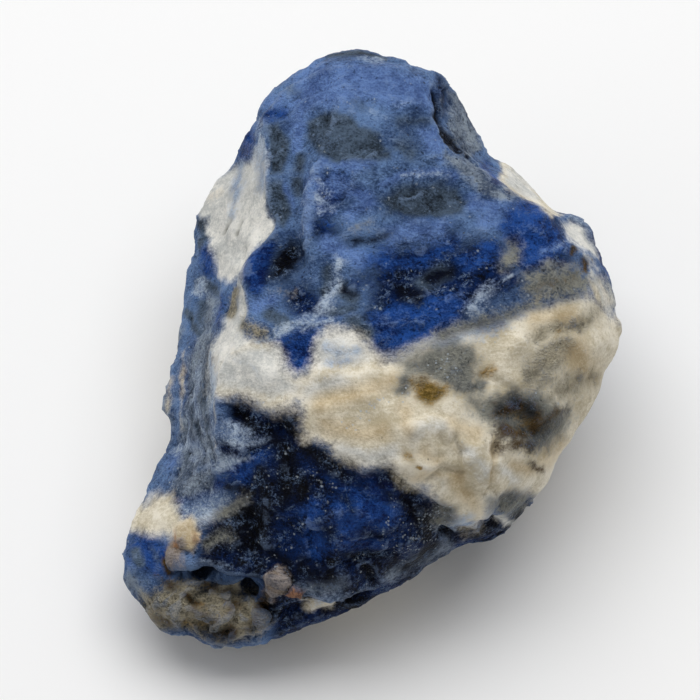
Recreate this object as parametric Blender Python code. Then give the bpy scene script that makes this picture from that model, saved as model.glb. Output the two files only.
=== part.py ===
"""Rough sodalite: one broken lump of blue sodalite with a seam of cream calcite across it.

The lump lies on the small flat spot of its back. Its corners, ridges and ledges are placed as they
are seen from above at VIEW_ELEVATION: x to the right and y downwards in pixels of a square frame
700 pixels wide, and depth towards the eye in the same pixels. Everything else is worked out from
STONE_LENGTH, the real length of what that view shows from top to bottom.

World frame: metres, +Z up, the origin in the middle of the flat spot.
"""

import math

import bmesh
import bpy
import numpy as np
from mathutils import Matrix, Vector, noise
from mathutils.geometry import delaunay_2d_cdt

NODE = "rough_sodalite"

# Driving dimensions, in metres and degrees
STONE_LENGTH = 0.0497
VIEW_ELEVATION = 65.0

# How many pixels tall the stone is in the frame in which the corners are placed
STONE_PIXELS = 596
PIXEL = STONE_LENGTH / STONE_PIXELS

# How far outside the outline its corners are set, as wearing the edges round takes them in again
OUTLINE_MARGIN = 2.5

# The flat spot: where its middle is seen through the stone, and how deep it lies there
SPOT_X = 372
SPOT_Y = 400
SPOT_DEPTH = -177

# How thick the thinnest slivers of the outline are
RIM_THICKNESS = 0.0010

# Surface grain, in metres
CELL = 0.0005
ROUNDING_PASSES = 3
WEAR_IN = 0.55
WEAR_OUT = 0.57
BROAD_WAVE = 0.0090
BROAD_RELIEF = 0.00028
CHIP_WAVE = 0.0036
CHIP_RELIEF = 0.00026
STREAK_LENGTH = 0.0085
STREAK_WAVE = 0.0021
STREAK_RELIEF = 0.00017
STREAK_SLOPE = 18.0
SIDEWAYS_SHARE = 0.4
MOST_TRIANGLES = 9700

BLUE = (0.062, 0.125, 0.330, 1.0)

# The outline, clockwise from the top of the head, where the front turns under: (x, y, depth)
OUTLINE = [
    (360, 50, -62), (373, 53, -60), (386, 59, -56), (402, 64, -52), (420, 71, -50),
    (435, 74, -50), (443, 80, -54), (448, 90, -66), (455, 97, -85), (462, 109, -88),
    (470, 124, -90), (478, 141, -92), (480, 150, -96), (486, 158, -98), (497, 164, -104),
    (508, 166, -108), (520, 177, -108), (532, 189, -106), (542, 202, -104), (556, 215, -100),
    (568, 218, -92), (580, 218, -86), (588, 227, -80), (594, 238, -76), (598, 252, -72),
    (602, 267, -66), (608, 287, -56), (611, 304, -46), (615, 317, -36), (620, 327, -26),
    (621, 341, -18), (616, 352, -14), (610, 363, -12), (602, 374, -12), (601, 383, -10),
    (593, 400, -6), (584, 416, -2), (573, 431, 0), (566, 443, 2), (558, 451, 2),
    (553, 462, 0), (549, 473, -4), (541, 488, -8), (529, 499, -14), (522, 510, -20),
    (512, 521, -26), (500, 529, -32), (485, 539, -36), (470, 542, -34), (455, 546, -28),
    (440, 554, -22), (427, 562, -18), (414, 574, -14), (402, 582, -13), (390, 588, -12),
    (379, 590, -11), (371, 596, -10), (362, 605, -10), (348, 611, -11), (330, 619, -12),
    (310, 625, -14), (290, 631, -15), (270, 639, -16), (240, 648, -17), (206, 643, -16),
    (196, 637, -15), (184, 632, -14), (175, 634, -14), (164, 630, -14), (156, 622, -15),
    (149, 611, -16), (141, 603, -18), (123, 579, -22), (122, 569, -23), (126, 552, -24),
    (129, 536, -26), (136, 512, -36), (146, 498, -44), (149, 486, -50), (159, 461, -58),
    (169, 448, -62), (172, 436, -64), (172, 422, -66), (162, 405, -68), (161, 399, -68),
    (167, 389, -70), (174, 362, -75), (178, 340, -78), (183, 313, -82), (193, 265, -88),
    (195, 240, -90), (200, 214, -92), (207, 199, -93), (219, 181, -94), (230, 173, -93),
    (238, 162, -91), (242, 146, -88), (250, 129, -84), (259, 118, -80), (265, 110, -77),
    (268, 101, -75), (277, 87, -72), (289, 80, -70), (295, 74, -69), (309, 69, -67),
    (313, 63, -66), (323, 58, -65), (332, 55, -64),
]

# Lines on the front that stay crisp: (x, y, depth) along each one
LEFT_RIDGE = [
    (263, 130, -14), (264, 150, 0), (266, 180, 15), (268, 205, 24), (271, 232, 36),
    (258, 252, 40), (246, 270, 44), (242, 290, 50), (240, 315, 54), (230, 335, 58),
    (219, 352, 62), (217, 380, 66), (216, 410, 69), (216, 440, 66), (217, 462, 58),
]
BROW_LEDGE_TOP = [(335, 112, 20), (313, 165, 36), (306, 200, 47), (304, 222, 53), (314, 262, 72)]
BROW_LEDGE_FOOT = [(327, 111, 9), (304, 163, 17), (296, 200, 26), (294, 222, 33), (304, 262, 57)]
RIGHT_RIDGE = [
    (437, 112, -2), (445, 135, 4), (455, 152, 11), (470, 165, 15), (486, 178, 18),
    (505, 192, 18), (525, 205, 16), (541, 209, 12), (553, 218, 10), (565, 236, 12),
    (576, 247, 12), (586, 262, 13), (594, 278, 11), (600, 300, 8), (608, 318, 0),
]
CALCITE_LEDGE_TOP = [
    (442, 410, 121), (460, 434, 117), (478, 446, 111), (494, 460, 100), (489, 482, 91),
    (487, 502, 79), (483, 517, 62),
]
CALCITE_LEDGE_FOOT = [
    (452, 405, 115), (470, 427, 106), (487, 439, 98), (504, 459, 85), (498, 482, 76),
    (495, 502, 60), (492, 521, 36),
]
LOWER_LEDGE_TOP = [
    (178, 520, 25), (185, 541, 28), (180, 563, 28), (198, 561, 33), (218, 570, 36),
    (240, 579, 38), (258, 575, 42), (268, 590, 40), (283, 597, 38), (302, 596, 40),
    (309, 588, 50), (332, 593, 46), (352, 590, 40), (372, 580, 34),
]
LOWER_LEDGE_FOOT = [
    (170, 531, 12), (172, 569, 10), (196, 571, 8), (215, 580, 9), (238, 590, 11),
    (252, 588, 7), (261, 602, 12), (282, 607, 15), (306, 603, 18), (334, 602, 22),
    (355, 598, 16),
]
CRISP_LINES = [
    LEFT_RIDGE, BROW_LEDGE_TOP, BROW_LEDGE_FOOT, RIGHT_RIDGE, CALCITE_LEDGE_TOP,
    CALCITE_LEDGE_FOOT, LOWER_LEDGE_TOP, LOWER_LEDGE_FOOT,
]

# The rest of the front, by region: (x, y, depth)
HEAD = [
    (322, 68, -28), (345, 63, -26), (370, 64, -24), (395, 73, -20), (418, 80, -18),
    (433, 88, -22), (300, 82, -36), (284, 94, -40), (276, 110, -36), (300, 105, -14),
    (340, 92, -2), (380, 95, 2), (415, 100, -2), (285, 140, -2), (280, 175, 12),
    (285, 210, 26), (290, 250, 48),
]
UPPER_FACE = [
    (380, 130, 24), (420, 125, 10), (350, 170, 46), (400, 175, 44), (440, 165, 28),
    (350, 230, 66), (400, 230, 68), (460, 220, 56), (505, 215, 34), (540, 235, 26),
    (350, 290, 90), (400, 290, 92), (460, 285, 86), (520, 280, 68), (560, 275, 46),
    (270, 290, 64), (300, 310, 84), (255, 330, 70), (585, 305, 36), (597, 328, 26),
]
LEFT_WALL = [
    (252, 150, -46), (240, 190, -42), (225, 220, -48), (222, 260, -36), (212, 300, -40),
    (200, 340, -36), (195, 380, -28), (188, 420, -30), (190, 450, -20), (180, 470, -18),
]
RIGHT_FACETS = [
    (449, 105, -52), (460, 125, -56), (468, 145, -52), (490, 167, -52), (520, 188, -62),
    (545, 208, -58), (570, 227, -50), (583, 240, -46), (594, 262, -40), (603, 288, -30),
]
CALCITE_SEAM = [
    (350, 350, 110), (400, 350, 112), (460, 345, 106), (520, 345, 90), (570, 335, 60),
    (600, 345, 28), (260, 370, 89), (300, 375, 104), (350, 385, 118), (400, 390, 122),
    (450, 385, 114), (500, 390, 98), (545, 385, 76), (580, 380, 40), (235, 400, 80),
    (260, 405, 91), (300, 415, 106), (350, 425, 120), (400, 430, 126), (430, 430, 124),
    (520, 425, 84), (550, 425, 54), (525, 455, 68), (541, 462, 36), (520, 487, 44),
    (507, 512, 20),
]
LOWER_FACE = [
    (240, 440, 79), (240, 480, 68), (240, 520, 56), (240, 555, 46), (290, 440, 98),
    (290, 480, 90), (290, 520, 78), (290, 560, 60), (340, 460, 112), (340, 500, 101),
    (340, 540, 85), (340, 572, 66), (390, 470, 116), (390, 510, 98), (390, 550, 66),
    (430, 490, 104), (430, 525, 70), (415, 560, 26), (462, 515, 76), (468, 532, 22),
    (445, 542, 18),
]
LOWER_NOSE = [
    (200, 490, 26), (178, 490, -2), (160, 500, -14), (148, 522, -6), (148, 545, 4),
    (138, 570, 4), (160, 565, 13), (200, 520, 34), (210, 545, 36), (172, 590, 17),
    (158, 602, 10), (200, 612, 22), (236, 628, 20), (270, 620, 20), (300, 613, 16),
    (330, 609, 12),
]
FRONT_REGIONS = [HEAD, UPPER_FACE, LEFT_WALL, RIGHT_FACETS, CALCITE_SEAM, LOWER_FACE, LOWER_NOSE]

# The back, by the height above the surface it rests on: (x, y, height)
BACK_BROKEN_FACES = [
    (345, 90, 150), (420, 108, 150), (300, 140, 120), (400, 165, 92), (462, 185, 104),
    (243, 215, 112), (222, 300, 76), (212, 390, 62), (186, 470, 56), (535, 240, 112),
    (578, 300, 100), (584, 350, 88), (552, 410, 72), (512, 480, 54), (440, 524, 40),
    (360, 570, 38), (270, 610, 32), (205, 610, 32), (150, 570, 38), (330, 225, 50),
    (430, 235, 44), (505, 310, 46), (262, 335, 34), (240, 430, 30), (290, 520, 26),
    (400, 515, 26), (490, 420, 32), (340, 295, 18), (420, 295, 20), (285, 420, 12),
]
FLAT_SPOT = [
    (342, 335, -12), (408, 335, -12), (442, 385, -12), (420, 442, -12), (350, 458, -12),
    (310, 410, -12), (318, 360, -12), (372, 395, -16),
]

# Hollows and swellings of the front: (points along it, half width, how far it stands out)
DENTS = [
    ([(205, 572)], 15, -15), ([(238, 585), (254, 590)], 11, -13), ([(266, 600), (268, 616)], 9, -10),
    ([(288, 609), (310, 607)], 8, -8), ([(346, 599), (366, 592)], 7, -10), ([(368, 575)], 9, -7),
    ([(181, 548)], 8, -7), ([(487, 522)], 9, -10), ([(445, 532)], 9, -8), ([(170, 577)], 12, -6),
    ([(436, 92), (440, 118), (451, 138), (464, 152)], 7, -9),
    ([(302, 84), (293, 108), (291, 150)], 6, -5), ([(327, 136), (346, 134)], 28, -6),
    ([(277, 138), (278, 170)], 12, -6), ([(300, 186)], 8, -5), ([(290, 256)], 24, -12),
    ([(405, 205), (445, 202)], 20, -6), ([(362, 244)], 18, -6), ([(402, 292), (452, 272)], 17, -8),
    ([(345, 290)], 14, -6), ([(300, 352)], 16, -5), ([(425, 389)], 15, -5),
    ([(515, 415), (545, 430)], 22, -7), ([(240, 415)], 15, -7), ([(280, 424)], 16, -6),
    ([(250, 520), (255, 545)], 16, -6), ([(320, 474)], 16, -5), ([(410, 512)], 15, -6),
    ([(205, 350), (203, 480)], 5, -2), ([(193, 380), (194, 470)], 5, -2),
]
SWELLINGS = [
    ([(312, 172), (305, 215)], 10, 6), ([(540, 228)], 30, 6), ([(340, 348)], 27, 7),
    ([(425, 440)], 32, 8), ([(470, 468)], 18, 7), ([(252, 352), (262, 380)], 22, 6),
    ([(276, 582)], 15, 12), ([(295, 590)], 9, 7), ([(181, 560)], 11, 9), ([(183, 530)], 12, 7),
    ([(317, 602)], 12, 7), ([(234, 592)], 10, 6), ([(375, 118)], 13, 5), ([(410, 545)], 20, 7),
    ([(362, 562)], 12, 5), ([(213, 350), (212, 460)], 4, 3), ([(198, 360), (199, 470)], 4, 3),
]

# Low ledges of the front: (line, rise, run). The surface stands up by rise on the line's right as
# it is followed, and sinks back over run; a negative rise is a step down.
LEDGES = [
    ([(380, 198), (402, 182), (432, 177), (462, 184), (478, 198)], -6, 36),
    ([(306, 150), (322, 163), (348, 161), (384, 152)], 7, 30),
    ([(338, 228), (366, 234), (400, 222), (450, 214)], 5, 30),
    ([(385, 262), (420, 256), (470, 240), (520, 232)], -5, 34),
    ([(370, 318), (420, 300), (470, 290), (520, 272)], 5, 30),
    ([(315, 112), (350, 100), (400, 104), (430, 112)], -5, 34),
    ([(250, 330), (280, 322), (318, 318)], 6, 24),
    ([(300, 372), (330, 366), (356, 372), (392, 360)], 6, 26),
    ([(305, 405), (345, 400), (385, 388)], 6, 26),
    ([(470, 372), (505, 384), (560, 380), (596, 372)], -7, 34),
    ([(500, 330), (540, 342), (590, 334)], 6, 26),
    ([(330, 452), (365, 468), (402, 470), (432, 492), (460, 518)], -10, 44),
    ([(222, 398), (262, 404), (300, 428)], -8, 34),
    ([(300, 520), (330, 505), (372, 512)], 8, 30),
    ([(262, 560), (268, 530), (262, 490)], 9, 26),
    ([(330, 560), (360, 545), (400, 548)], -8, 24),
    ([(405, 450), (425, 462), (455, 460)], 7, 20),
    ([(200, 232), (226, 250), (243, 268)], 7, 22),
    ([(186, 300), (206, 312), (226, 318)], 6, 20),
    ([(138, 530), (158, 540), (175, 548)], -6, 22),
    ([(150, 592), (176, 604), (206, 606), (236, 602)], 7, 24),
]
LEDGE_EDGE = 5
LEDGE_END = 12

# Relief comes in over this share of a full turn to the eye, and its lines stray by WANDER pixels
FACING_SHARE = 1 / 3
WANDER = 9
WANDER_WAVE = 0.0024


def view_axes():
    """The view's right, up and towards-the-eye directions in the world, as a matrix's columns."""
    tilt = math.radians(VIEW_ELEVATION)
    return Matrix((
        (1.0, 0.0, 0.0),
        (0.0, math.sin(tilt), -math.cos(tilt)),
        (0.0, math.cos(tilt), math.sin(tilt)),
    ))


VIEW = view_axes()
TOWARDS_EYE = VIEW.col[2].copy()
STREAK_AXES = Matrix.Rotation(math.radians(-STREAK_SLOPE), 3, "Z") @ VIEW.transposed()


def placed(x, y, depth):
    """The world position of a point that is seen at x, y in the frame, at that depth."""
    seen = Vector((x - SPOT_X, SPOT_Y - y, depth - SPOT_DEPTH))
    return VIEW @ (seen * PIXEL)


def depth_of_rest(y):
    """The depth of the surface that the stone rests on, where it is seen at this y."""
    return SPOT_DEPTH - (SPOT_Y - y) / math.tan(math.radians(VIEW_ELEVATION))


def side_triangles(points, lines):
    """Triangles over the points as they are seen, inside the outline and along the given lines.

    The rim's points come first in points, and lines holds pairs of places in points."""
    flat = [Vector((x, -y)) for x, y, _ in points]
    rim = len(RIM)
    edges = [(i, (i + 1) % rim) for i in range(rim)] + lines
    made = delaunay_2d_cdt(flat, edges, [], 1, 1e-4)
    source = [found[0] for found in made[3]]
    return [[source[i] for i in face] for face in made[2]]


def widened(outline):
    """The outline, with each corner moved out by OUTLINE_MARGIN, square to its neighbours."""
    corners = []
    for before, (x, y, depth), after in zip(outline[-1:] + outline, outline, outline[1:] + outline[:1]):
        across, down = after[0] - before[0], after[1] - before[1]
        share = OUTLINE_MARGIN / math.hypot(across, down)
        corners.append((x + down * share, y - across * share, depth))
    return corners


RIM = widened(OUTLINE)


def front_points():
    """The front's points and the pairs of them that its crisp lines join."""
    points = list(RIM)
    lines = []
    for line in CRISP_LINES:
        first = len(points)
        points += line
        lines += [(i, i + 1) for i in range(first, len(points) - 1)]
    for region in FRONT_REGIONS:
        points += region
    return points, lines


def back_points():
    """The back's points, with each height turned into a depth."""
    return RIM + [
        (x, y, depth_of_rest(y) + height) for x, y, height in BACK_BROKEN_FACES + FLAT_SPOT
    ]


def broken_lump():
    """The closed many-faced lump between the front's points and the back's."""
    shape = bmesh.new()
    rim = [shape.verts.new(placed(*point)) for point in RIM]
    front, crisp = front_points()
    for points, lines, faces_eye in ((front, crisp, True), (back_points(), [], False)):
        corners = rim + [shape.verts.new(placed(*point)) for point in points[len(rim):]]
        for face in side_triangles(points, lines):
            ring = [corners[i] for i in (face if faces_eye else face[::-1])]
            if faces_eye or max(face) >= len(rim):
                shape.faces.new(ring)
                continue
            middle = sum((corner.co for corner in ring), Vector()) / 3
            tip = shape.verts.new(middle - TOWARDS_EYE * RIM_THICKNESS)
            for start in range(3):
                shape.faces.new([ring[start], ring[(start + 1) % 3], tip])
    bmesh.ops.recalc_face_normals(shape, faces=shape.faces)
    return shape


def evenly_celled(shape):
    """A stone object with the shape rebuilt in even cells of size CELL."""
    mesh = bpy.data.meshes.new(NODE)
    shape.to_mesh(mesh)
    shape.free()
    stone = bpy.data.objects.new(NODE, mesh)
    bpy.context.scene.collection.objects.link(stone)
    cells = stone.modifiers.new("even cells", "REMESH")
    cells.mode = "VOXEL"
    cells.voxel_size = CELL
    bake_modifiers(stone)
    return stone


def bake_modifiers(stone):
    """Makes the object's mesh what its modifiers show."""
    graph = bpy.context.evaluated_depsgraph_get()
    finished = bpy.data.meshes.new_from_object(stone.evaluated_get(graph))
    stone.modifiers.clear()
    old = stone.data
    stone.data = finished
    bpy.data.meshes.remove(old)


def read_points(mesh):
    """The mesh's points as rows of three numbers."""
    points = np.empty(len(mesh.vertices) * 3, np.float32)
    mesh.vertices.foreach_get("co", points)
    return points.reshape(-1, 3).astype(float)


def write_points(mesh, points):
    """Moves the mesh's points to these rows of three numbers."""
    mesh.vertices.foreach_set("co", points.astype(np.float32).ravel())
    mesh.update()


def round_edges(mesh, passes):
    """Wears the edges round, each pass in and then out again so that the lump keeps its size."""
    ends = np.empty(len(mesh.edges) * 2, np.int32)
    mesh.edges.foreach_get("vertices", ends)
    first, second = ends.reshape(-1, 2).T
    points = read_points(mesh)
    neighbours = np.bincount(np.concatenate([first, second]), minlength=len(points))
    for step in [WEAR_IN, -WEAR_OUT] * passes:
        total = np.zeros_like(points)
        np.add.at(total, first, points[second])
        np.add.at(total, second, points[first])
        points += step * (total / neighbours[:, None] - points)
    write_points(mesh, points)


def read_normals(mesh):
    """The mesh's outward directions at its points, as rows of three numbers."""
    normals = np.empty(len(mesh.vertices) * 3, np.float32)
    mesh.vertex_normals.foreach_get("vector", normals)
    return normals.reshape(-1, 3).astype(float)


def grain(point):
    """How far the broken surface stands out at a point: broad swells, chips and long streaks."""
    broad = noise.fractal(point / BROAD_WAVE, 1.0, 2.0, 2)
    chips = noise.ridged_multi_fractal(point / CHIP_WAVE, 1.0, 2.0, 2, 1.0, 2.0) - 1.0
    along, across, depth = STREAK_AXES @ point
    streaks = noise.noise(Vector((along / STREAK_LENGTH, across / STREAK_WAVE, depth / STREAK_WAVE)))
    return BROAD_RELIEF * broad + CHIP_RELIEF * chips + STREAK_RELIEF * streaks


def roughen(mesh):
    """Gives the lump its broken surface. The outline that the view shows moves least."""
    points = read_points(mesh)
    normals = read_normals(mesh)
    rise = np.array([grain(Vector(point)) for point in points])
    push = normals * rise[:, None]
    towards_eye = np.array(TOWARDS_EYE)
    along_view = (push @ towards_eye)[:, None] * towards_eye
    write_points(mesh, points + along_view + SIDEWAYS_SHARE * (push - along_view))


def distances(seen, line):
    """For each seen point: how far it is from a line of points, how far along the line its nearest
    place is, and whether it lies on the line's right as the line is followed."""
    nearest = np.full(len(seen), np.inf)
    along = np.zeros(len(seen))
    on_right = np.zeros(len(seen), bool)
    done = 0.0
    for start, end in zip(line, line[1:] or line):
        start, step = np.array(start, float), np.subtract(end, start).astype(float)
        length = math.hypot(*step)
        offset = seen - start
        share = np.clip(offset @ step / max(length * length, 1e-9), 0.0, 1.0)
        gap = np.hypot(*(offset - share[:, None] * step).T)
        closer = gap < nearest
        nearest[closer] = gap[closer]
        along[closer] = done + share[closer] * length
        on_right[closer] = (step[0] * offset[:, 1] - step[1] * offset[:, 0])[closer] > 0
        done += length
    return nearest, along, on_right, done


def carve_front(mesh):
    """Adds the dents, swellings and low ledges to the side that faces the eye, along the view."""
    points = read_points(mesh)
    facing = np.clip(read_normals(mesh) @ np.array(TOWARDS_EYE) / FACING_SHARE, 0.0, 1.0)
    seen = points @ np.array(VIEW) / PIXEL
    seen = np.stack([seen[:, 0] + SPOT_X, SPOT_Y - seen[:, 1]], axis=1)
    stray = np.array([noise.noise_vector(Vector(point) / WANDER_WAVE) for point in points])
    seen += WANDER * stray[:, :2]
    rise = np.zeros(len(points))
    for line, half_width, height in DENTS + SWELLINGS:
        share = np.clip(distances(seen, line)[0] / half_width, 0.0, 1.0)
        rise += height * (1.0 - share * share) ** 2
    for line, height, run in LEDGES:
        nearest, along, on_right, length = distances(seen, line)
        ends = np.clip(np.minimum(along, length - along) / LEDGE_END, 0.0, 1.0)
        past = np.where(on_right, nearest, -nearest)
        up = np.clip(past / LEDGE_EDGE + 0.5, 0.0, 1.0)
        rise += height * ends * up * np.clip(1.0 - past / run, 0.0, 1.0)
    write_points(mesh, points + (rise * facing * PIXEL)[:, None] * np.array(TOWARDS_EYE))


def thin_out(stone):
    """Keeps triangles where the surface turns, and drops them where it is nearly flat."""
    triangles = sum(len(face.vertices) - 2 for face in stone.data.polygons)
    fewer = stone.modifiers.new("fewer triangles", "DECIMATE")
    fewer.ratio = MOST_TRIANGLES / triangles
    fewer.use_collapse_triangulate = True
    bake_modifiers(stone)


def cut_flat_spot(mesh):
    """Cuts the back off level at the world's ground plane, which leaves the flat spot."""
    shape = bmesh.new()
    shape.from_mesh(mesh)
    everything = shape.verts[:] + shape.edges[:] + shape.faces[:]
    cut = bmesh.ops.bisect_plane(
        shape, geom=everything, dist=1e-6, plane_co=(0, 0, 0), plane_no=(0, 0, -1), clear_outer=True,
    )
    rim = [part for part in cut["geom_cut"] if isinstance(part, bmesh.types.BMEdge)]
    bmesh.ops.holes_fill(shape, edges=rim)
    bmesh.ops.triangulate(shape, faces=shape.faces[:])
    bmesh.ops.recalc_face_normals(shape, faces=shape.faces)
    shape.to_mesh(mesh)
    shape.free()


def sodalite_finish():
    """The stone's plain finish: a waxy mid blue."""
    finish = bpy.data.materials.new("sodalite")
    finish.use_nodes = True
    shader = finish.node_tree.nodes["Principled BSDF"]
    shader.inputs["Base Color"].default_value = BLUE
    shader.inputs["Roughness"].default_value = 0.5
    shader.inputs["Metallic"].default_value = 0.0
    return finish


def clear_scene():
    for old in list(bpy.data.objects):
        bpy.data.objects.remove(old)


def main():
    clear_scene()
    stone = evenly_celled(broken_lump())
    round_edges(stone.data, ROUNDING_PASSES)
    carve_front(stone.data)
    roughen(stone.data)
    thin_out(stone)
    cut_flat_spot(stone.data)
    stone.data.materials.append(sodalite_finish())
    stone.data.shade_smooth()
    stone.data.set_sharp_from_angle(angle=math.radians(40))


main()
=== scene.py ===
"""Looks of the rough sodalite: its fine broken surface, its grown-together minerals and a pale stage.

The camera sees the stone as the photograph does. Places on the stone are given in that view's own
frame, x to the right and y downwards in pixels of a square of FRAME_PIXELS. What the view doesn't
show lies outside the stone's outline there, unrolled outwards over the sides and the back.
"""

import math
from collections import namedtuple

import bmesh
import bpy
import numpy as np
from bpy.props import FloatProperty, FloatVectorProperty, PointerProperty
from mathutils import Matrix, Vector, noise
from mathutils.bvhtree import BVHTree


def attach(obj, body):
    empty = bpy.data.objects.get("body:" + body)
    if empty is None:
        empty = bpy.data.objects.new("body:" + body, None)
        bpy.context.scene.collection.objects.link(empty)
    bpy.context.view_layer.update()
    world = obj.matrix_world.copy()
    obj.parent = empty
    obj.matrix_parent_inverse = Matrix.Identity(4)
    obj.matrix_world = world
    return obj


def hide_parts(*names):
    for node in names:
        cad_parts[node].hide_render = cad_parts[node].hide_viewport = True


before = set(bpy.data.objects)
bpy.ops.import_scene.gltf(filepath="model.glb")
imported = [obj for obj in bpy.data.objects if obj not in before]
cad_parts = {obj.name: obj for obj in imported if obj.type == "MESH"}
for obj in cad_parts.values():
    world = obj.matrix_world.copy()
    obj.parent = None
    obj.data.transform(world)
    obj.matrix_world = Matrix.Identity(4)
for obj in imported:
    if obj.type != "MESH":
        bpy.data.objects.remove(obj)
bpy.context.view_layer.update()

bl_info = {
    "name": "Rough Sodalite",
    "version": (1, 0, 0),
    "blender": (4, 5, 0),
    "location": "3D Viewport > Sidebar > Stone",
    "description": "Dresses a rough lump of sodalite with calcite and sets it on a pale stage",
    "category": "Object",
}

NODE = "rough_sodalite"

# The view: how steeply it looks down in degrees, the stone's length in metres and in pixels, and
# where the flat spot's middle lies: pixels across, down and towards the eye
VIEW_ELEVATION = 65.0
STONE_LENGTH = 0.0497
FRAME_PIXELS = 700
STONE_PIXELS = 596
PIXEL = STONE_LENGTH / STONE_PIXELS
SPOT_X = 372
SPOT_Y = 400
SPOT_DEPTH = -177
# How near the eye what the camera aims at lies, in pixels, and its sensor's width in millimetres
TARGET_DEPTH = -60
SENSOR = 36.0

# Where the stone is unrolled from: the middle of its outline, in how many directions its rim is
# found, and how many pixels behind the front a place starts and wholly counts as behind
MIDDLE = (372, 350)
DIRECTIONS = 180
BEHIND_FROM = 10
BEHIND_WHOLLY = 45

# The even mesh, in metres: its step, what is welded first, and how its facets are evened out
MESH_STEP = 0.000258
WELD_GAP = 1e-7
EVENING_PASSES = 7
EVENING_PULLS = (0.5, -0.52)
# Below the first height the flat spot keeps its level, and above the second all relief shows
FLAT_SPOT_HEIGHT = 0.00012
CLEAR_OF_FLOOR = 0.0012
# Keeps a length from being nothing where it divides
NOT_ZERO = 1e-9

# Fine relief in metres: ledges as (width, how many in a width, height), chips as (width, tilt) and
# grains as (width, height)
LEDGES = ((0.0065, 2.4, 0.00024), (0.0026, 2.0, 0.00010))
CHIPS = ((0.0028, 0.15), (0.0012, 0.14))
GRAINS = ((0.0013, 0.00005), (0.0007, 0.00004))
# The share of a ledge's width in which it rises
LEDGE_RISE = 0.3
# How steeply the streaks slope in the view, in degrees, and how many times longer than wide they are
STREAK_SLOPE = 18
STREAK_STRETCH = 2.2
# How much smoother than the sodalite the calcite breaks
CALCITE = ("cream", "white", "tan")
CALCITE_CALM = 0.6
# How often the ground round a point is evened out, and how far in metres the point stands out from
# it to count wholly as an edge
CREST_PASSES = 8
CREST_HEIGHT = 0.00007

# How far a drawn edge strays, as (size in metres, reach in pixels), in sight and behind
WARPS = ((0.0030, 5.0), (0.0011, 2.6))
WARP_BEHIND = (0.0060, 35.0)
# Where what is drawn fades away beyond the rim, in pixels, and how unevenly it does
FADE_FROM = -5
FADE_TO = 45
FADE_SIZE = 0.009
FADE_UNEVENNESS = 45
# How deep in a mineral a place can lie at most, in softnesses of its edge
DEEP_INSIDE = 3.0
FAR_OUTSIDE = -DEEP_INSIDE
# How sharply the edges of patches behind turn into depth
BEHIND_SHARPNESS = 9

# Where each use of the noise starts, and how far apart two starts lie, for the noise and the chips
CHIP_START = 1
GRAIN_START = 4
WARP_START = 7
BEHIND_START = 20
LEDGE_START = 30
WARP_BEHIND_START = 50
FADE_START = 60
NOISE_APART = 17.3
CHIPS_APART = 11.7
# How far apart in the noise two chips read their tilts. This noise is another in each run unless it
# gets a seed
TILTS_APART = 3.7
TILT_SEED = 8


def patches(softness, *outlines):
    """Closed outlines of (x, y) whose edges fade over softness pixels each way."""
    return [("patch", softness, outline) for outline in outlines]


def streaks(softness, *lines):
    """Lines of (x, y, half width) whose edges fade over softness pixels each way."""
    return [("streak", softness, line) for line in lines]


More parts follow.
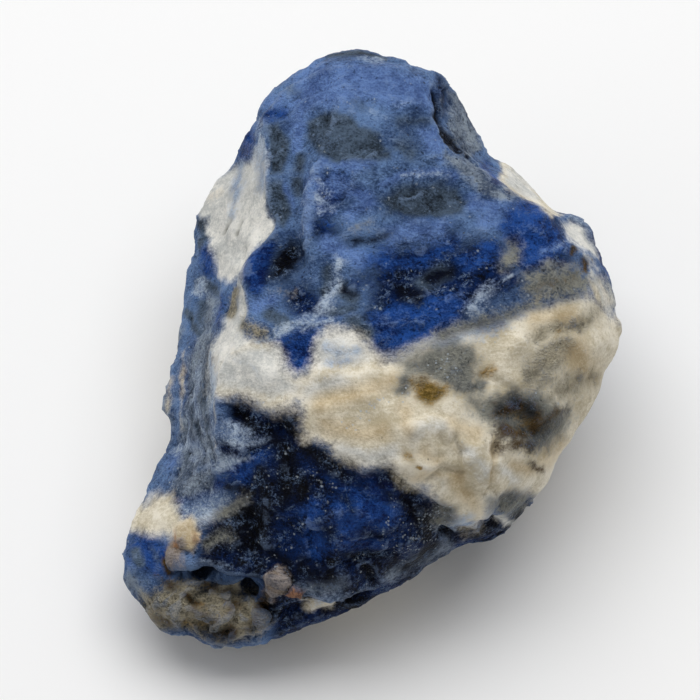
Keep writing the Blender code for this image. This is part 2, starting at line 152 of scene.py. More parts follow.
# Where each mineral has grown, and where pale grains lie strewn like sugar, in pixels of the view
GROWTHS = {
    "deep": [
        # This patch covers the lower face, where the deep blue is partly painted shade
        *patches(9,
            ((214, 440), (224, 428), (232, 404), (246, 400), (262, 412), (298, 405), (303, 430), (318, 444),
            (335, 458), (360, 470), (395, 468), (410, 487), (438, 500), (458, 525), (480, 530), (520, 500),
            (560, 520), (500, 600), (380, 680), (280, 700), (272, 640), (266, 606), (258, 584), (238, 578),
            (200, 562), (205, 532), (225, 506), (236, 480), (216, 466))),
        *patches(14,
            ((366, 300), (372, 268), (400, 252), (440, 248), (480, 240), (508, 256), (524, 282), (500, 300),
            (474, 316), (440, 334), (400, 352), (378, 350))),
        *streaks(8, ((440, 80, 3), (440, 108, 6))),
        *streaks(9, ((520, 262, 14), (562, 262, 12))),
        *streaks(10, ((318, 230, 12), (330, 236, 9)), ((300, 300, 16), (330, 312, 10))),
        *streaks(12, ((384, 248, 3), (420, 240, 5), (452, 234, 3)), ((346, 288, 4), (372, 276, 6))),
        *streaks(14,
            ((660, 240, 40), (740, 330, 60)), ((60, 420, 50), (40, 560, 60)),
            ((380, -40, 60), (540, 20, 50)), ((560, 600, 60), (700, 520, 60))),
    ],
    "royal": [
        *patches(5,
            ((262, 241), (277, 238), (274, 262), (268, 284), (258, 298), (248, 292), (243, 280),
            (247, 264))),
        *patches(7,
            ((272, 350), (292, 336), (316, 332), (319, 346), (317, 362), (306, 374), (292, 371),
            (280, 362))),
        *patches(8, ((230, 460), (262, 453), (266, 475), (245, 483), (230, 478))),
        *patches(9,
            ((503, 207), (530, 202), (550, 214), (564, 234), (567, 250), (545, 262), (520, 268), (507, 250),
            (498, 226)),
            ((372, 312), (420, 302), (452, 292), (468, 302), (464, 318), (445, 330), (420, 344), (395, 356),
            (380, 357), (371, 345), (367, 325)), ((330, 76), (362, 72), (384, 82), (374, 94), (344, 92)),
            ((314, 178), (330, 170), (346, 172), (352, 186), (340, 204), (328, 222), (316, 214))),
        *patches(12,
            ((334, 478), (372, 472), (398, 480), (408, 500), (398, 524), (386, 552), (366, 560), (342, 550),
            (330, 520))),
        *patches(13, ((132, 534), (150, 533), (172, 546), (178, 560), (168, 576), (146, 574), (128, 566))),
        *streaks(4,
            ((592, 228, 4), (602, 252, 5), (610, 284, 5)), ((484, 166, 4), (498, 182, 5)),
            ((198, 340, 4), (193, 372, 5), (190, 404, 4)), ((222, 296, 3), (216, 322, 3)),
            ((176, 462, 4), (186, 456, 4))),
        *streaks(5,
            ((247, 132, 5), (247, 150, 6), (244, 160, 4)), ((268, 118, 5), (284, 115, 6)),
            ((576, 218, 4), (590, 224, 4)), ((596, 250, 4), (603, 276, 4))),
        *streaks(6,
            ((258, 350, 3), (284, 343, 6), (302, 333, 7), (322, 324, 4)),
            ((182, 500, 6), (205, 492, 7), (236, 479, 5)), ((210, 250, 6), (212, 270, 7))),
        *streaks(8, ((382, 262, 9), (420, 258, 9), (450, 246, 8)), ((470, 258, 9), (492, 250, 8))),
        *streaks(9, ((262, 124, 4), (284, 112, 6)), ((312, 512, 10), (318, 545, 9))),
        *streaks(12,
            ((655, 270, 14), (690, 250, 20), (740, 210, 20)), ((110, 600, 14), (60, 640, 26)),
            ((300, 20, 16), (260, -30, 24)), ((336, 256, 3), (366, 262, 6), (392, 252, 5)),
            ((408, 222, 0), (440, 226, 1))),
    ],
    "frosted": [
        *patches(8, ((438, 122), (448, 148), (442, 160), (428, 152), (420, 132))),
        *patches(10,
            ((314, 64), (345, 66), (390, 70), (420, 77), (436, 90), (430, 108), (410, 104), (388, 108),
            (370, 101), (345, 107), (318, 103), (304, 114), (300, 132), (292, 134), (290, 106), (296, 78))),
        *streaks(4,
            ((302, 104, 5), (300, 132, 5), (296, 150, 5)),
            ((382, 186, 3), (404, 176, 4), (432, 173, 4), (456, 179, 4))),
        *streaks(5,
            ((322, 163, 6), (310, 184, 6), (306, 206, 5), (308, 236, 4)),
            ((326, 162, 5), (350, 166, 6), (374, 162, 4)), ((272, 300, 6), (256, 304, 5)),
            ((540, 252, 2), (566, 242, 3)), ((287, 186, 3), (290, 206, 4)),
            ((300, 322, 4), (330, 318, 4), (350, 314, 3))),
        *streaks(6, ((268, 104, 6), (284, 100, 6)), ((172, 466, 5), (186, 456, 6), (200, 450, 4))),
        *streaks(7,
            ((330, 182, 8), (352, 192, 8), (372, 204, 7), (350, 216, 6)), ((330, 248, 9), (356, 260, 7))),
        *streaks(8, ((470, 204, 8), (496, 208, 8), (484, 222, 8)), ((392, 238, 7), (440, 230, 7))),
        *streaks(12, ((420, 30, 20), (500, 60, 22))),
    ],
    "slate": [
        *patches(3, ((448, 92), (457, 96), (478, 138), (480, 152), (466, 154), (453, 140), (449, 118))),
        *patches(5,
            ((200, 330), (212, 336), (216, 352), (216, 470), (212, 492), (190, 500), (172, 492), (184, 450),
            (180, 440), (188, 400), (190, 360)),
            ((446, 152), (462, 157), (486, 171), (503, 189), (522, 203), (500, 201), (480, 190), (462, 179),
            (448, 166))),
        *streaks(4, ((602, 286, 3), (612, 308, 4))),
        *streaks(5, ((570, 220, 4), (584, 224, 4))),
        *streaks(6,
            ((212, 300, 5), (206, 330, 5)), ((176, 330, 5), (166, 372, 6)),
            ((160, 396, 8), (166, 410, 8), (166, 440, 6))),
        *streaks(8, ((128, 584, 8), (146, 596, 6))),
        *streaks(9, ((296, 588, 5), (336, 586, 6)), ((390, 572, 6), (416, 560, 6), (446, 548, 5))),
        *streaks(12, ((110, 380, 20), (90, 460, 26))),
    ],
    "charcoal": [
        *patches(4,
            ((308, 120), (320, 110), (335, 109), (350, 116), (358, 128), (378, 133), (388, 146), (382, 158),
            (360, 162), (340, 162), (322, 154), (310, 143)),
            ((266, 130), (280, 126), (288, 136), (289, 160), (286, 174), (272, 180), (266, 160)),
            ((267, 184), (284, 182), (288, 202), (291, 214), (284, 226), (271, 222), (266, 202))),
        *patches(6,
            ((380, 202), (395, 189), (414, 184), (440, 183), (458, 188), (466, 200), (460, 213), (440, 219),
            (410, 219), (390, 214))),
        *streaks(2, ((195, 404, 1), (196, 450, 1))),
        *streaks(3,
            ((207, 356, 1), (205, 400, 2), (209, 452, 1)), ((190, 314, 5), (198, 330, 4)),
            ((186, 420, 1), (188, 462, 1))),
        *streaks(4,
            ((301, 158, 4), (302, 168, 5)), ((338, 288, 8), (352, 297, 7)),
            ((202, 222, 6), (208, 234, 5), (203, 244, 4)), ((204, 306, 5), (202, 318, 4)),
            ((206, 282, 7), (216, 290, 5)), ((330, 54, 4), (360, 53, 5), (384, 60, 3)),
            ((270, 312, 7), (284, 322, 7)), ((137, 556, 6), (142, 566, 5))),
        *streaks(5,
            ((300, 181, 4), (298, 191, 4)), ((388, 154, 6), (364, 156, 5)), ((325, 290, 5), (328, 272, 5))),
        *streaks(6, ((330, 312, 6), (352, 306, 6)), ((444, 272, 8), (420, 288, 8))),
        *streaks(7,
            ((291, 91, 1), (300, 94, 1)), ((352, 322, 8), (368, 336, 8)), ((150, 548, 0), (160, 562, 1)),
            ((134, 574, 0), (150, 582, 1))),
        *streaks(8, ((350, 100, 0), (364, 106, 0))),
        *streaks(9, ((402, 144, 4), (414, 152, 5))),
        *streaks(10, ((400, 122, 3), (424, 120, 3))),
    ],
    "black": [
        *patches(8,
            ((279, 248), (291, 238), (300, 246), (306, 258), (300, 272), (289, 280), (276, 284), (268, 280),
            (273, 262)),
            ((231, 508), (262, 499), (272, 516), (270, 546), (250, 556), (230, 548), (225, 526))),
        *streaks(2,
            ((286, 572, 5), (292, 576, 4)),
            ((434, 94, 2), (437, 114, 3), (446, 132, 3), (456, 147, 3), (466, 156, 2))),
        *streaks(3, ((487, 519, 3), (496, 524, 5), (480, 532, 4))),
        *streaks(4, ((322, 612, 3), (352, 602, 3))),
        *streaks(5,
            ((344, 288, 4), (352, 292, 4)), ((242, 411, 6), (252, 424, 7)), ((284, 418, 5), (296, 434, 6)),
            ((304, 486, 6), (300, 500, 5)), ((342, 600, 1), (368, 591, 3))),
        *streaks(6,
            ((398, 294, 8), (414, 299, 8)), ((430, 281, 7), (452, 270, 6)),
            ((352, 244, 2), (372, 243, 4), (398, 234, 0)), ((306, 450, 6), (325, 462, 8), (344, 478, 6)),
            ((272, 556, 6), (286, 566, 7)), ((194, 572, 4), (214, 568, 4)), ((240, 584, 3), (254, 598, 4)),
            ((264, 602, 4), (268, 617, 3)), ((362, 566, 2), (374, 580, 4)), ((440, 530, 3), (447, 537, 3)),
            ((180, 574, 2), (188, 588, 3)), ((232, 486, 5), (250, 492, 6)), ((252, 574, 3), (262, 566, 3))),
        *streaks(7,
            ((268, 430, 7), (286, 450, 9), (290, 478, 10), (280, 500, 8)),
            ((404, 498, 7), (420, 512, 9), (426, 532, 8)), ((214, 580, 3), (234, 584, 3)),
            ((262, 470, 8), (264, 496, 9)), ((430, 548, 6), (404, 566, 6)), ((454, 532, 5), (474, 532, 4)),
            ((206, 556, 3), (232, 566, 2))),
        *streaks(8,
            ((330, 440, 4), (352, 466, 5)), ((388, 470, 5), (412, 494, 8)), ((350, 552, 6), (392, 556, 6)),
            ((328, 492, 1), (344, 500, 4), (352, 514, 2)), ((380, 484, 2), (393, 497, 4)),
            ((316, 520, 2), (334, 529, 4)), ((364, 527, 2), (381, 535, 4), (398, 529, 1)),
            ((352, 478, 2), (366, 486, 3))),
        *streaks(9, ((300, 566, 9), (330, 578, 8))),
        *streaks(12, ((430, 610, 10), (560, 560, 12))),
    ],
    "cream": [
        *patches(4,
            ((501, 160), (514, 162), (532, 180), (548, 198), (562, 214), (553, 219), (538, 207), (520, 201),
            (508, 191), (502, 178))),
        *patches(6, ((590, 276), (600, 282), (610, 306), (606, 312), (594, 300))),
        *patches(8,
            ((144, 504), (160, 492), (176, 492), (180, 514), (182, 536), (165, 534), (150, 536), (120, 524),
            (90, 520), (90, 490), (120, 490))),
        *patches(10,
            ((212, 352), (232, 341), (262, 338), (270, 342), (276, 354), (287, 366), (300, 373), (311, 371),
            (317, 358), (318, 344), (326, 333), (346, 331), (361, 336), (372, 349), (381, 359), (396, 361),
            (410, 353), (430, 343), (450, 333), (470, 326), (495, 321), (520, 316), (545, 306), (566, 299),
            (584, 292), (598, 302), (612, 314), (640, 326), (690, 340), (760, 400), (740, 470), (640, 450),
            (590, 452), (570, 480), (545, 500), (526, 494), (505, 498), (491, 502), (486, 518), (474, 527),
            (462, 530), (454, 520), (446, 510), (436, 498), (424, 490), (410, 486), (401, 478), (394, 469),
            (384, 463), (360, 468), (345, 463), (334, 455), (330, 444), (317, 440), (305, 440), (301, 424),
            (299, 404), (290, 408), (279, 411), (262, 409), (252, 402), (240, 396), (228, 399),
            (214, 396))),
        *streaks(3, ((222, 592, 5), (234, 591, 6))),
        *streaks(4, ((590, 276, 2), (600, 296, 3)), ((306, 606, 4), (328, 604, 5))),
        *streaks(5,
            ((234, 624, 5), (244, 632, 6)), ((160, 606, 4), (176, 600, 5)),
            ((520, 150, 10), (560, 120, 16), (620, 90, 18))),
        *streaks(6,
            ((206, 598, 3), (220, 606, 3)), ((186, 618, 3), (206, 626, 3)), ((168, 588, 2), (184, 584, 2)),
            ((246, 612, 2), (254, 622, 2))),
    ],
    "white": [
        *patches(4,
            ((259, 140), (266, 160), (267, 185), (266, 212), (273, 227), (256, 246), (247, 260), (243, 285),
            (247, 305), (247, 330), (246, 345), (217, 362), (212, 345), (220, 330), (224, 318), (236, 300),
            (240, 274), (229, 284), (222, 276), (216, 256), (211, 238), (208, 224), (205, 217), (192, 212),
            (130, 225), (90, 180), (140, 130), (190, 168), (210, 184), (224, 176), (238, 166), (252, 160),
            (256, 146)), ((504, 168), (514, 169), (530, 186), (540, 200), (524, 198), (510, 186)),
            ((562, 224), (576, 227), (588, 242), (592, 258), (580, 250), (568, 237)),
            ((566, 222), (580, 228), (594, 244), (598, 262), (588, 256), (576, 242))),
        *patches(8,
            ((318, 340), (335, 333), (352, 337), (368, 349), (371, 360), (358, 366), (340, 364), (322, 367),
            (316, 352))),
        *patches(9,
            ((217, 350), (240, 346), (274, 349), (282, 362), (295, 376), (300, 392), (270, 398), (240, 391),
            (217, 390))),
        *streaks(2,
            ((217, 352, 1), (217, 400, 1), (217, 462, 0)),
            ((574, 238, 0), (592, 271, 1), (604, 303, 1), (612, 318, 0))),
        *streaks(3, ((183, 380, 0), (184, 430, 0))),
        *streaks(4, ((500, 518, 4), (510, 522, 4))),
        *streaks(8, ((342, 450, 6), (366, 458, 6), (390, 450, 6))),
        *streaks(9,
            ((412, 436, 2), (430, 426, 2), (448, 428, 1)), ((468, 452, 3), (484, 470, 4)),
            ((424, 466, 0), (444, 486, 0)), ((508, 470, 4), (518, 481, 2)), ((310, 392, 7), (340, 382, 6)),
            ((190, 522, 3), (212, 514, 5), (236, 504, 0))),
    ],
    "mist": [
        *patches(6, ((217, 452), (250, 456), (236, 468), (217, 472))),
        *patches(7, ((217, 420), (238, 426), (262, 438), (240, 442), (217, 438))),
        *streaks(3,
            ((488, 288, 0), (510, 276, 0)), ((540, 253, -1), (568, 241, 0)), ((212, 352, 2), (213, 440, 2)),
            ((200, 366, 1), (197, 400, 2), (202, 436, 1)), ((190, 410, 1), (192, 460, 2))),
        *streaks(4,
            ((404, 178, 1), (424, 175, 2), (448, 178, 2)), ((206, 280, 4), (204, 290, 5)),
            ((260, 122, 2), (258, 140, 3), (262, 158, 3)), ((176, 452, 3), (190, 444, 4), (206, 452, 3)),
            ((198, 470, 3), (216, 464, 3))),
        *streaks(5,
            ((259, 342, 3), (284, 330, 4), (318, 315, 3)), ((300, 330, 2), (330, 320, 3)),
            ((360, 59, 1), (380, 64, 3)), ((244, 162, 2), (237, 190, 3), (230, 220, 2)),
            ((314, 168, -1), (304, 200, -1), (304, 236, -1)), ((314, 197, 2), (327, 204, 3))),
        *streaks(6,
            ((338, 264, 3), (335, 282, 4), (328, 300, 6), (320, 311, 3)), ((206, 556, -3), (236, 566, -3)),
            ((470, 520, 4), (440, 528, 5)), ((572, 214, 4), (590, 226, 4)), ((318, 213, 0), (334, 208, 1))),
        *streaks(7,
            ((318, 600, 3), (336, 596, 3)), ((326, 346, 1), (342, 352, 3), (360, 350, 2)),
            ((334, 362, 2), (350, 359, 3))),
        *streaks(8,
            ((372, 112, -2), (386, 118, -3)), ((258, 150, 3), (262, 190, 3)),
            ((196, 512, 9), (222, 504, 9)), ((320, 180, 0), (330, 200, 0))),
        *streaks(9,
            ((472, 314, 6), (480, 300, 6), (488, 290, 4)), ((396, 104, -4), (414, 102, -4)),
            ((500, 324, 5), (470, 334, 5), (440, 346, 5)), ((330, 350, -2), (358, 354, -2)),
            ((236, 360, -4), (262, 374, -4))),
        *streaks(10, ((600, 180, 12), (650, 160, 14)), ((120, 340, 12), (90, 330, 16))),
    ],
    "tan": [
        *patches(4, ((172, 524), (190, 514), (202, 530), (198, 550), (186, 546), (178, 536))),
        *streaks(4,
            ((497, 440, 5), (495, 462, 3), (492, 480, 4)), ((187, 350, -1), (183, 376, 1), (181, 398, 0))),
        *streaks(6,
            ((516, 464, 4), (532, 470, 6)), ((200, 606, 7), (216, 612, 7)), ((172, 380, 1), (168, 410, 0))),
        *streaks(7, ((420, 474, 5), (440, 476, 3)), ((452, 424, 5), (476, 436, 6))),
        *streaks(8,
            ((424, 450, 6), (438, 460, 5)), ((456, 482, 8), (474, 504, 7)), ((404, 410, 6), (408, 430, 5)),
            ((560, 440, 6), (546, 462, 6))),
        *streaks(9,
            ((320, 405, 7), (345, 398, 8), (372, 389, 8), (392, 380, 5)),
            ((330, 424, 8), (360, 431, 8), (380, 429, 8))),
        *streaks(10, ((536, 322, 8), (572, 314, 8)), ((232, 352, -4), (256, 352, -5))),
        *streaks(12, ((572, 350, 14), (588, 370, 12)), ((196, 202, -4), (222, 192, -5))),
    ],
    "smoky": [
        *patches(8, ((492, 497), (518, 491), (532, 495), (522, 512), (502, 515), (488, 509))),
        *patches(9,
            ((400, 362), (430, 347), (455, 339), (475, 343), (481, 360), (478, 380), (485, 396), (465, 398),
            (445, 386), (425, 374), (404, 374)),
            ((486, 398), (510, 390), (540, 388), (560, 402), (570, 416), (562, 436), (545, 450), (520, 448),
            (500, 440), (488, 425), (468, 412), (466, 400)),
            ((520, 276), (548, 264), (580, 266), (592, 280), (578, 294), (548, 300), (524, 296))),
        *streaks(3, ((230, 222, 0), (225, 234, 1)), ((243, 222, 0), (237, 236, 1))),
        *streaks(6,
            ((406, 380, 6), (402, 389, 6)), ((460, 386, 8), (478, 388, 8)), ((242, 500, 6), (222, 516, 5))),
        *streaks(7, ((212, 542, 5), (226, 536, 7)), ((446, 512, 9), (440, 520, 9))),
        *streaks(8, ((505, 262, 8), (513, 245, 7))),
        *streaks(9,
            ((546, 300, 5), (500, 318, 6), (470, 326, 6), (440, 338, 5)), ((352, 232, -2), (374, 226, 0))),
        *streaks(12, ((530, 376, 4), (556, 364, 4))),
    ],
    "olive": [
        *patches(8,
            ((148, 592), (170, 583), (200, 582), (235, 592), (258, 602), (268, 618), (262, 632), (240, 640),
            (205, 638), (170, 628), (140, 640), (120, 620))),
        *streaks(3, ((235, 290, 3), (229, 314, 4))),
        *streaks(7, ((246, 324, 6), (262, 334, 7))),
        *streaks(8, ((272, 294, -2), (294, 294, -2))),
        *streaks(9, ((538, 298, -1), (546, 294, -1))),
        *streaks(12, ((540, 336, 5), (592, 318, 5))),
        *streaks(14, ((536, 372, 8), (560, 344, 9)), ((560, 390, 6), (592, 376, 4))),
    ],
    "ochre": [
        *patches(6, ((410, 382), (426, 377), (446, 384), (446, 396), (430, 405), (414, 397))),
        *streaks(1, ((418, 464, 2), (420, 466, 2))),
        *streaks(3, ((181, 536, 2), (179, 547, 2))),
        *streaks(4, ((555, 338, 0), (562, 330, 0))),
        *streaks(6, ((200, 604, 0), (206, 612, 0)), ((184, 624, 0), (204, 629, 0))),
        *streaks(7, ((484, 372, 3), (494, 368, 2)), ((404, 452, 1), (412, 458, 1))),
        *streaks(8, ((512, 412, 2), (538, 426, 2))),
    ],
    "brown": [
        *streaks(2, ((573, 249, 3), (572, 254, 2))),
        *streaks(3,
            ((582, 262, 4), (585, 268, 3)), ((262, 608, 5), (270, 596, 4)), ((188, 596, 4), (196, 604, 3)),
            ((168, 560, 4), (172, 572, 3)), ((232, 630, 6), (216, 632, 4))),
        *streaks(4, ((534, 462, 3), (538, 470, 3))),
        *streaks(6,
            ((530, 446, 5), (500, 448, 4)), ((160, 580, 1), (176, 588, 2)), ((206, 586, 2), (224, 594, 3)),
            ((196, 612, 2), (214, 620, 2)), ((226, 612, 3), (240, 606, 3)), ((156, 612, 1), (172, 620, 2)),
            ((250, 628, 2), (258, 616, 2))),
        *streaks(7, ((538, 428, 7), (556, 412, 5))),
        *streaks(8, ((500, 412, 6), (518, 406, 7), (534, 416, 8)), ((502, 430, 6), (524, 438, 7))),
        *streaks(12, ((536, 286, -5), (574, 276, -4))),
    ],
    "rusty": [
        *patches(4,
            ((262, 580), (276, 568), (291, 573), (287, 588), (275, 598), (264, 592)),
            ((169, 552), (173, 536), (182, 531), (190, 541), (187, 558), (176, 568))),
    ],
    "orange": [
        *patches(3, ((283, 595), (292, 585), (306, 588), (299, 598))),
        *streaks(4, ((177, 530, 1), (182, 546, 1))),
        *streaks(5, ((196, 528, -1), (198, 540, 0))),
    ],
    "sugar": [
        *streaks(4, ((309, 178, 3),), ((320, 198, 4),)),
        *streaks(5, ((285, 425, 4),), ((302, 450, 4),)),
        *streaks(6,
            ((246, 486, 8),), ((392, 500, 7),), ((390, 516, 6), (396, 530, 6)),
            ((350, 420, 8), (400, 392, 8))),
        *streaks(8,
            ((361, 562, 9),), ((176, 484, 10), (206, 478, 8)), ((212, 440, 5), (210, 480, 5)),
            ((270, 560, 8),), ((446, 366, 12), (432, 360, 8))),
        *streaks(9, ((308, 478, 7), (336, 485, 6))),
        *streaks(12, ((404, 540, 16), (440, 516, 8))),
    ],
}

# What grows where the view doesn't reach: the size of its patches in metres, and how rare they are
GROWTHS_BEHIND = {
    "deep": (0.011, 0.02),
    "royal": (0.008, 0.16),
    "frosted": (0.007, 0.16),
    "slate": (0.010, 0.16),
    "charcoal": (0.007, 0.20),
    "black": (0.005, 0.30),
    "cream": (0.014, 0.12),
    "white": (0.010, 0.26),
    "mist": (0.006, 0.34),
    "tan": (0.005, 0.38),
    "smoky": (0.008, 0.26),
    "ochre": (0.0026, 0.60),
    "brown": (0.0030, 0.54),
}

# Lines of the view that stand out, and how far in metres; what goes in is a pit, slot or groove
RELIEF = [
    (streaks(3, ((200, 571, 4), (213, 569, 4))), -0.0009),
    (streaks(3, ((242, 585, 3), (254, 593, 4))), -0.0009),
    (streaks(3, ((264, 604, 3), (269, 613, 3))), -0.0007),
    (streaks(3, ((346, 599, 3), (368, 591, 4))), -0.0007),
    (streaks(4, ((363, 568, 3), (374, 580, 4))), -0.0006),
    (streaks(3, ((441, 530, 4), (448, 537, 4))), -0.0006),
    (streaks(3, ((482, 523, 4), (496, 520, 4))), -0.0006),
    (streaks(3, ((433, 92, 2), (438, 114, 3), (447, 134, 3), (458, 149, 2))), -0.0006),
    (patches(3, ((169, 552), (173, 536), (182, 531), (190, 541), (187, 558), (176, 568))), 0.0003),
    (patches(3, ((176, 524), (190, 518), (200, 532), (196, 548), (186, 544), (180, 534))), 0.0004),
    (patches(2, ((263, 578), (276, 568), (291, 573), (287, 590), (275, 598), (266, 592))), 0.0005),
    (patches(2, ((283, 594), (291, 584), (306, 588), (298, 598))), 0.0004),
    (streaks(4, ((312, 605, 6), (328, 602, 6))), 0.0003),
    (streaks(5, ((412, 428, 7), (432, 422, 7), (450, 432, 7))), 0.0004),
    (patches(4, ((462, 440), (482, 446), (494, 462), (492, 486), (478, 482), (466, 462))), 0.0005),
    (streaks(4, ((498, 446, 3), (496, 468, 3), (492, 490, 4))), -0.0005),
    (streaks(4, ((430, 480, 4), (446, 470, 4), (462, 476, 4))), -0.0004),
    (streaks(4, ((456, 436, 1), (462, 452, 2), (460, 468, 1))), -0.0004),
    (streaks(6, ((420, 396, 6), (436, 394, 6))), -0.00012),
    (streaks(5, ((500, 412, 6), (520, 426, 8), (540, 432, 6))), -0.0003),
    (streaks(3, ((244, 248, 1), (234, 280, 2), (224, 312, 2))), -0.0003),
    (streaks(3, ((230, 222, 1), (225, 234, 1))), -0.0003),
    (streaks(3, ((243, 222, 1), (237, 236, 1))), -0.0003),
]

# Ledges and cracks, as (height in metres, line): the ground on the left of the line, walked from
# its first point, stands higher
STEPS = [
    (0.00030, ((262, 128), (266, 160), (266, 196), (274, 226), (252, 256), (241, 284), (247, 316),
               (222, 356), (217, 395), (217, 470))),
    (0.00022, ((330, 112), (318, 160), (306, 196), (304, 226), (310, 256))),
    (0.00022, ((446, 92), (450, 118), (462, 142), (480, 152))),
    (0.00045, ((188, 566), (204, 562), (240, 576), (262, 580), (300, 596), (340, 602), (372, 588))),
    (0.00020, ((398, 470), (420, 492), (444, 506), (458, 524), (478, 530), (500, 500))),
    (0.00020, ((574, 236), (592, 270), (604, 302), (616, 322))),
]
# Over how many pixels a step rises, and how far from its line it dies away
STEP_SOFTNESS = 3.0
STEP_REACH = 14.0
# A zone of rubble, where the relief of ledges, chips and grains is this many times higher
RUBBLE = patches(
    8, ((150, 590), (176, 572), (204, 572), (240, 586), (272, 604), (262, 640), (180, 640)))
RUBBLE_ROUGHER = 3.2

# Sizes of the stone's pattern, in metres: the real grains are 0.1 to 0.3 mm, and the finest are
# drawn at 0.22 mm, because smaller ones vanish in the picture
GRAIN_SIZE = 0.00022
MOTTLE_SIZE = 0.0010
CLUSTER_SIZE = 0.0017
CLOUD_SIZE = 0.0042
STREAK_WIDTH = 0.00042
STREAK_LENGTH = 0.0034
WISP_SIZE = 0.00055
SUGAR_SIZE = 0.00023
BUMP_DEPTH = 0.00015
# Noise mostly stays within this band, which is spread to run from -1 to 1
NOISE_LOW = 0.34
NOISE_HIGH = 0.66
# Painted shade: what the colour in a hollow is multiplied by, so that hollows look shaded
HOLLOW_SHADE = (0.25, 0.25, 0.25)
# The paper's fibres are 0.01 to 0.05 mm thick, and are drawn as tufts, 900 to the metre, to show
TUFTS = 900.0
TUFT_DEPTH = 0.00002
# Settings that many nodes share
SMOOTH = {"interpolation_type": "SMOOTHSTEP"}
COLOURS = {"data_type": "RGBA"}
TIMES = {"operation": "MULTIPLY"}

# Soft lights, as (place, width and height in metres, power in watts), and how bright the sky is
LIGHTS = {
    "Key": ((0.0, 0.235, 0.552), (0.80, 0.40), 3.5),
    "Fill": ((-0.50, -0.10, 0.30), (0.40, 0.40), 0.15),
}
SKY_STRENGTH = 0.32

# A mineral's title and what it is, its colour where it is darkest and palest, which unevenness
# mixes the two and tears its edge, how ragged that edge is, its roughness, how coarse its grain
# feels, how thickly haze and flecks lie in it, the pale flecks partly painted glints, and how much
# its edges whiten, partly from bruising and partly as painted highlights, and its hollows darken
# with painted shade
Mineral = namedtuple("Mineral", "title description dark pale kind raggedness roughness coarseness dust wear")
FINISHES = ("roughness", "coarseness", "dust", "wear")

# The body lies under all the others, which follow in the order in which they cover one another
MINERALS = {name: Mineral(*row) for name, row in {
    "body": ("Body", "Ordinary sodalite", "32486E", "6C8BB9",
             "lumpy", 0, 0.48, 0.8, 0.4, 0.8),
    # Deep blue is partly the stone's own dense blue and partly painted shade: its very dark colours also
    # darken the stone's lower face
    "deep": ("Deep blue", "Dense, clear sodalite", "01030B", "0A285C",
             "lumpy", 0.9, 0.45, 0.8, 0.9, 0.6),
    "royal": ("Royal blue", "Bright, clean sodalite", "051848", "25519C",
             "streaky", 0.9, 0.45, 0.8, 0.35, 0.7),
    "frosted": ("Frosted blue", "Sodalite bruised white by the hammer", "425A8E", "7090C8",
             "streaky", 0.9, 0.55, 0.8, 0.3, 0.7),
    "slate": ("Slate blue", "Fibrous grey-blue side", "414F66", "9CA9B7",
             "streaky", 0.9, 0.55, 0.9, 0.5, 1.0),
    "charcoal": ("Charcoal", "Grey-green sodalite with fine dark grains", "26303B", "54657A",
             "lumpy", 0.75, 0.50, 0.8, 0.4, 0.8),
    "black": ("Navy black", "Sodalite so clear that no light comes back", "010103", "060D20",
             "lumpy", 0.9, 0.45, 0.8, 0.8, 0.5),
    "cream": ("Cream calcite", "Warm, clouded calcite", "BDB298", "E8E1D0",
             "streaky", 0.7, 0.50, 0.22, 0.0, 0.1),
    "white": ("White calcite", "Clean calcite", "B2B4B2", "E4E2DB",
             "streaky", 0.7, 0.48, 0.22, 0.0, 0.1),
    "mist": ("Milky blue", "Thin calcite over blue sodalite", "5D7397", "B4C2D2",
             "lumpy", 0.9, 0.50, 0.6, 0.1, 0.4),
    "tan": ("Tan calcite", "Calcite stained by clay", "AD9A78", "DBCDB1",
             "streaky", 0.7, 0.50, 0.22, 0.0, 0.1),
    "smoky": ("Smoky calcite", "Calcite full of dark grains", "484B4D", "86867D",
             "lumpy", 0.9, 0.48, 0.5, 0.3, 0.2),
    "olive": ("Olive grey", "Grey-green weathered edge", "504E45", "B6AD96",
             "lumpy", 1.0, 0.58, 1.0, 0.4, 0.4),
    "ochre": ("Ochre", "Iron stain", "5E4D22", "A8894C",
             "lumpy", 0.9, 0.55, 0.7, 0.2, 0.2),
    "brown": ("Brown", "Dark iron-brown grains", "0F0D09", "5E4A2C",
             "lumpy", 1.1, 0.50, 0.9, 0.5, 0.4),
    "rusty": ("Pinkish chip", "Pinkish-grey chips", "4E453F", "A8998A",
             "lumpy", 0.9, 0.50, 0.9, 0.3, 0.3),
    "orange": ("Orange chip", "Orange chips", "6E4220", "C08A58",
             "lumpy", 0.8, 0.50, 0.9, 0.1, 0.2),
}.items()}


def linear(hex_colour):
    """The linear red, green and blue of an sRGB hex colour."""
    parts = [int(hex_colour[place:place + 2], 16) / 255 for place in (0, 2, 4)]
    return tuple(part / 12.92 if part <= 0.04045 else ((part + 0.055) / 1.055) ** 2.4
                 for part in parts)


def colour(name, description, hex_colour):
    """A colour that a user can change."""
    return FloatVectorProperty(name=name, description=description, default=linear(hex_colour),
                               size=3, min=0.0, max=1.0, subtype="COLOR")


def mineral_colours():
    """A dark and a pale colour for each mineral."""
    return {f"{name}_{shade}": colour(f"{mineral.title}, {shade}", mineral.description,
                                      getattr(mineral, shade))
            for name, mineral in MINERALS.items() for shade in ("dark", "pale")}


class StoneColours(bpy.types.PropertyGroup):
    """Each mineral's colour where it is darkest and where it is palest, and what lies over them."""

    haze: colour("Haze", "Milky clouds inside the dark blue", "2C4C7C")
    wisp: colour("Wisps", "Short crooked white hairs in the dark blue", "60738F")
    # The pale grains: partly real pale grains, partly painted glints
    sugar: colour("Sugar", "Tiny pale grains strewn on the blue", "B7C2CE")
    # Edges and crests, whitened partly by bruising and partly as painted highlights
    worn_edge: colour("Worn edge", "Bruised, whitened edges and crests", "8197B8")


StoneColours.__annotations__.update(mineral_colours())


